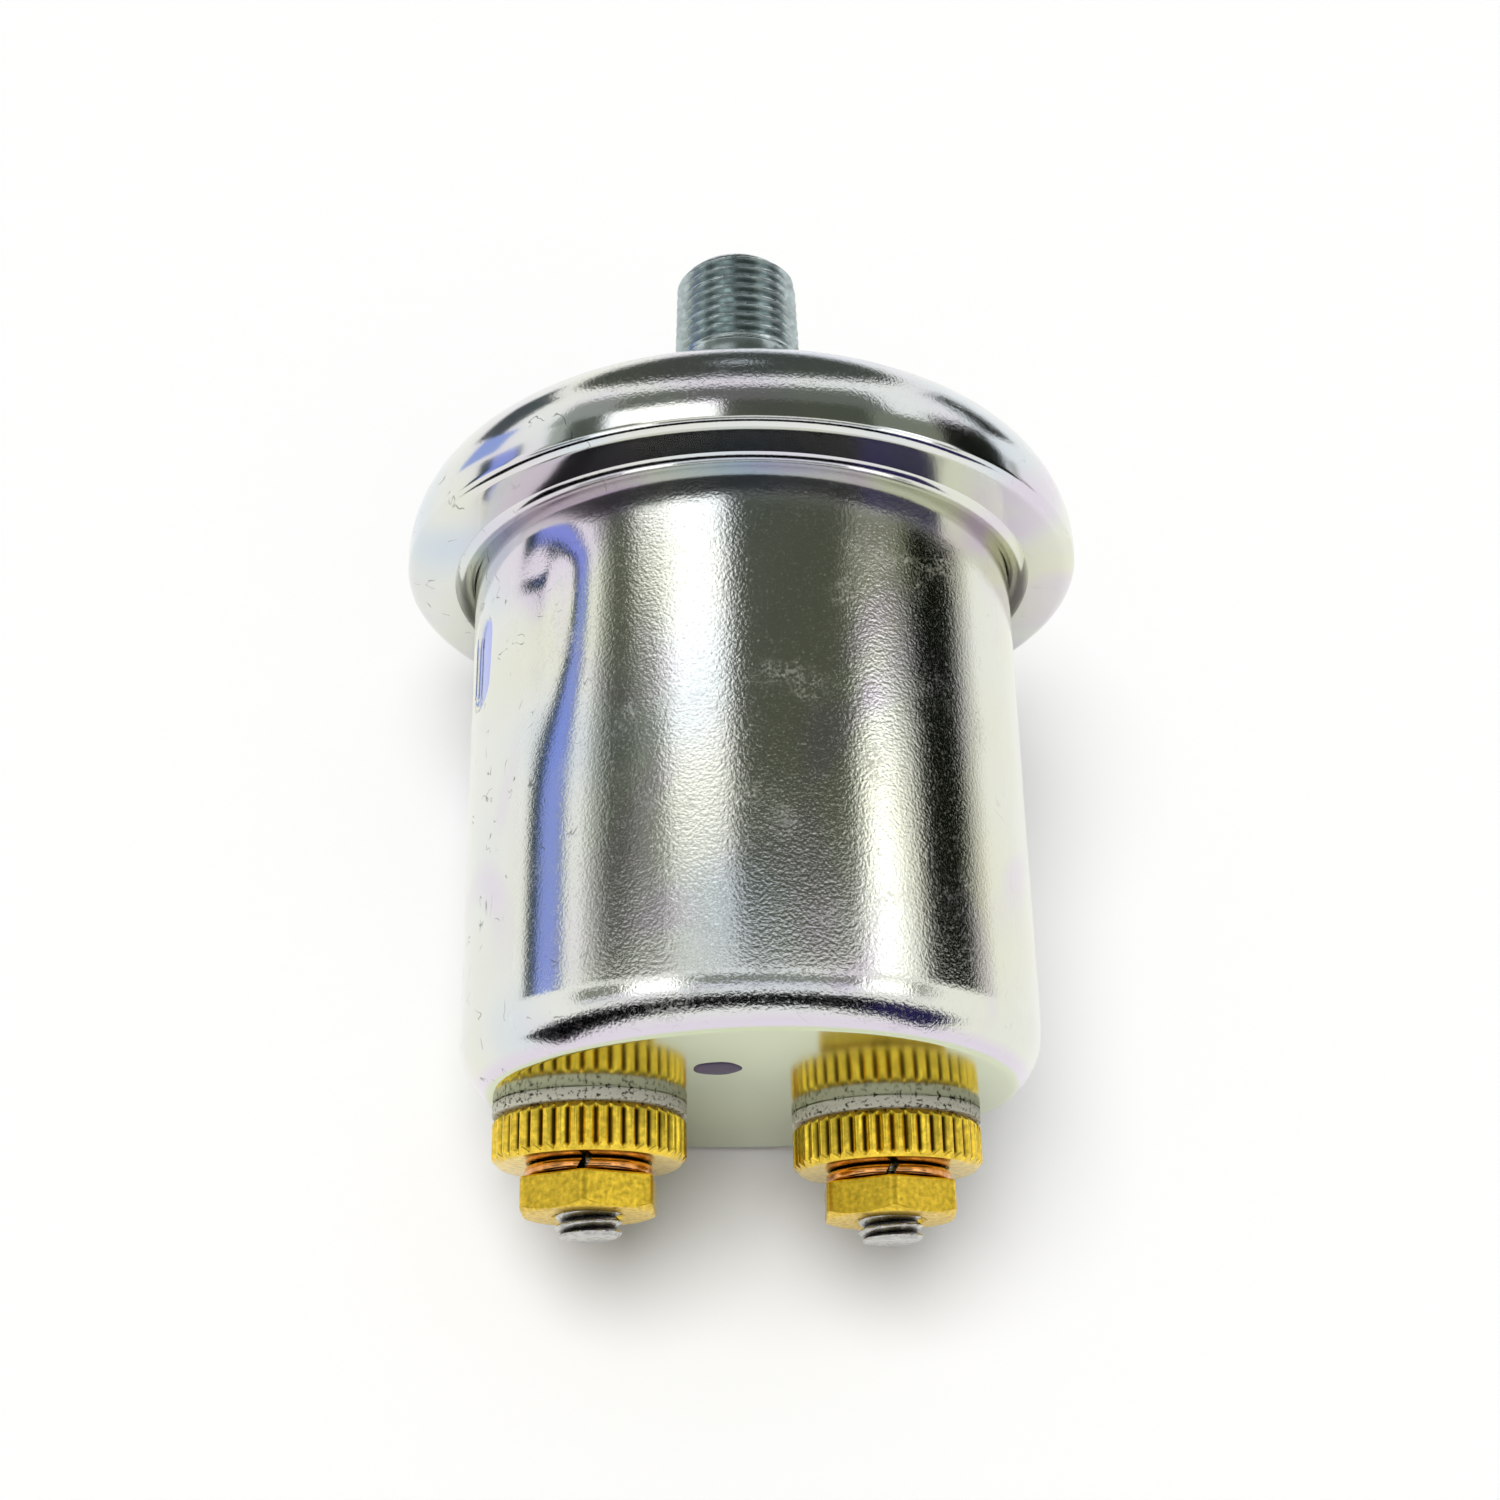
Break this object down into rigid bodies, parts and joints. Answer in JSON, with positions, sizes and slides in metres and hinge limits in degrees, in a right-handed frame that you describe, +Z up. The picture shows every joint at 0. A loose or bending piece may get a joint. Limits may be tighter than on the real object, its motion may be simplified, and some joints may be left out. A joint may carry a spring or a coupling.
{
  "type": "pressure switch",
  "caption": "Round pressure switch with a male taper pipe port, a crimped steel can and a pair of insulated stud terminals; pressure moves a plunger that swings a contact lever.",
  "frame": {"origin": "on the switch's axis at the port fitting's shoulder, where the plain neck begins", "axes": "+Y along the axis out of the port, +Z up with the two studs level, +X to the right seen from the terminals, as it lies in the picture"},
  "size_m": [0.053, 0.0802, 0.053],
  "materials": {
    "zinc_steel": "bright zinc plate with clear chromate",
    "zinc_fitting": "blue-grey zinc plate over cut thread",
    "plain_steel": "plain pressed steel",
    "stud_steel": "bright rolled thread",
    "spring_steel": "drawn spring wire",
    "brass": "turned yellow brass",
    "brass_sheet": "blanked sheet brass",
    "bronze": "bright bronze spring wire",
    "silver": "plain silver contact",
    "phenolic": "pressed phenolic sheet",
    "fibre": "grey vulcanised fibre",
    "nitrile": "moulded rubber",
    "lacquer": "dried sealing lacquer"
  },
  "bodies": {
    "body": {"can": "zinc_steel", "pressure_cap": "zinc_steel", "port_fitting": "zinc_fitting", "gasket_ring": "nitrile", "diaphragm": "nitrile", "support_plate": "plain_steel", "pivot_pin": "plain_steel", "switch_bracket": "brass_sheet", "contact_strip": "brass_sheet", "fixed_contact": "silver", "range_spring": "spring_steel", "spring_seat": "brass", "calibration_screw": "plain_steel", "insulating_plate": "phenolic", "seal_dot": "lacquer", "left_stud": "stud_steel", "right_stud": "stud_steel", "left_stud_bush": "fibre", "right_stud_bush": "fibre", "left_insulating_washer": "fibre", "right_insulating_washer": "fibre", "left_knurled_nut": "brass", "right_knurled_nut": "brass"},
    "plunger": {"plunger": "phenolic"},
    "lever": {"contact_lever": "brass_sheet", "moving_contact": "silver"},
    "left_washer": {"left_lock_washer": "bronze"},
    "left_nut": {"left_hex_nut": "brass"},
    "right_washer": {"right_lock_washer": "bronze"},
    "right_nut": {"right_hex_nut": "brass"}
  },
  "joints": [
    {"name": "plunger_travel", "type": "slide", "parent": "body", "child": "plunger", "axis": [0, -1, 0], "range_m": [0, 0.0008], "stiffness_N_per_m": 300, "springref_m": -0.002, "deforming": ["diaphragm", "range_spring"]},
    {"name": "lever_swing", "type": "hinge", "parent": "body", "child": "lever", "pos_m": [0, -0.0375, -0.01263], "axis": [1, 0, 0], "range_deg": [0, 3.7]},
    {"name": "left_washer_lift", "type": "slide", "parent": "body", "child": "left_washer", "axis": [0, -1, 0], "range_m": [0, 0.00159]},
    {"name": "left_nut_turn", "type": "hinge", "parent": "left_washer", "child": "left_nut", "pos_m": [-0.0113, -0.06321, -0.0042], "axis": [0, -1, 0], "range_deg": [0, 720]},
    {"name": "right_washer_lift", "type": "slide", "parent": "body", "child": "right_washer", "axis": [0, -1, 0], "range_m": [0, 0.00159]},
    {"name": "right_nut_turn", "type": "hinge", "parent": "right_washer", "child": "right_nut", "pos_m": [0.0113, -0.06321, -0.0042], "axis": [0, -1, 0], "range_deg": [0, 720]}
  ],
  "couplings": [
    {"joint": "lever_swing", "follows": "plunger_travel", "rad_per_m": 79.194},
    {"joint": "left_nut_turn", "follows": "left_washer_lift", "rad_per_m": 7913.3},
    {"joint": "right_nut_turn", "follows": "right_washer_lift", "rad_per_m": 7913.3}
  ]
}
